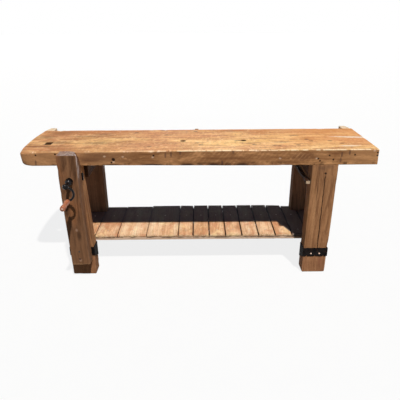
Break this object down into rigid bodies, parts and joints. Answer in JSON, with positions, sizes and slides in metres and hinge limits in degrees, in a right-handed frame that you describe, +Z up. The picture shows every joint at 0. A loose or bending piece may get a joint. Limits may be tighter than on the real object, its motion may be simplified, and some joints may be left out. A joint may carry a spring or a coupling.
{
  "type": "carpenter's workbench",
  "caption": "Heavy timber workbench with a boarded shelf, a tool tray along the back, a stop mortise, holdfast holes and a leg vise closed by a crank.",
  "frame": {"origin": "on the floor, under the middle of the whole bench's box", "axes": "+X along the bench to the right of the person who stands at its front, +Y from the front to the back, +Z up"},
  "size_m": [2.164, 0.907, 0.855],
  "materials": {
    "slab_wood": "worn, lightly oiled, satin",
    "leg_wood": "old, dark, matt",
    "foot_wood": "dark reddish brown, matt",
    "rail_wood": "old, dark, matt",
    "shelf_wood": "pale, sawn, matt",
    "tray_end_wood": "fresh, pale, matt",
    "tray_wood": "plain, matt",
    "jaw_wood": "weathered greyish brown, matt",
    "guide_wood": "worn, matt",
    "grip_wood": "handled, satin, copper brown",
    "black_iron": "blackened, worn",
    "nail_iron": "dull forged"
  },
  "bodies": {
    "bench": {"bench_top": "slab_wood", "drawer_runner": "rail_wood", "foot_front_left": "foot_wood", "foot_front_right": "foot_wood", "foot_rear_left": "foot_wood", "foot_rear_right": "foot_wood", "leg_front_left": "leg_wood", "leg_front_right": "leg_wood", "leg_rear_left": "leg_wood", "leg_rear_right": "leg_wood", "nut_screws": "nail_iron", "runner_screws": "nail_iron", "screw_nut": "black_iron", "shelf_board_01": "shelf_wood", "shelf_board_02": "shelf_wood", "shelf_board_03": "shelf_wood", "shelf_board_04": "shelf_wood", "shelf_board_05": "shelf_wood", "shelf_board_06": "shelf_wood", "shelf_board_07": "shelf_wood", "shelf_board_08": "shelf_wood", "shelf_board_09": "shelf_wood", "shelf_board_10": "shelf_wood", "shelf_board_11": "shelf_wood", "shelf_board_12": "shelf_wood", "shelf_board_13": "shelf_wood", "shelf_nails": "nail_iron", "shelf_rail_front": "rail_wood", "shelf_rail_rear": "rail_wood", "side_rail_left": "rail_wood", "side_rail_right": "rail_wood", "side_stretcher_left": "rail_wood", "side_stretcher_right": "rail_wood", "strap_front_left": "black_iron", "strap_front_right": "black_iron", "strap_nails": "nail_iron", "strap_rear_left": "black_iron", "strap_rear_right": "black_iron", "tray_back": "tray_wood", "tray_bottom": "tray_wood", "tray_end_left": "tray_end_wood", "tray_end_right": "tray_end_wood", "tray_spacer": "tray_wood"},
    "jaw": {"vise_jaw": "jaw_wood", "jaw_nails": "nail_iron", "guide_bar": "guide_wood"},
    "screw": {"vise_screw": "black_iron", "crank": "black_iron", "grip_spindle": "black_iron"},
    "grip": {"crank_grip": "grip_wood"},
    "pin": {"guide_pin": "guide_wood"}
  },
  "joints": [
    {"name": "jaw_slide", "type": "slide", "parent": "bench", "child": "jaw", "axis": [0, -1, 0], "range_m": [0, 0.15]},
    {"name": "screw_turn", "type": "hinge", "parent": "jaw", "child": "screw", "pos_m": [-0.758, -0.1475, 0.697], "axis": [0, -1, 0], "range_deg": [0, 6750]},
    {"name": "grip_spin", "type": "hinge", "parent": "screw", "child": "grip", "pos_m": [-0.75193, -0.3925, 0.61021], "axis": [0, -1, 0], "continuous": true},
    {"name": "guide_pin_pull", "type": "slide", "parent": "jaw", "child": "pin", "axis": [1, 0, 0], "range_m": [0, 0.06]}
  ],
  "couplings": [
    {"joint": "jaw_slide", "follows": "screw_turn", "m_per_rad": 0.0012732}
  ]
}
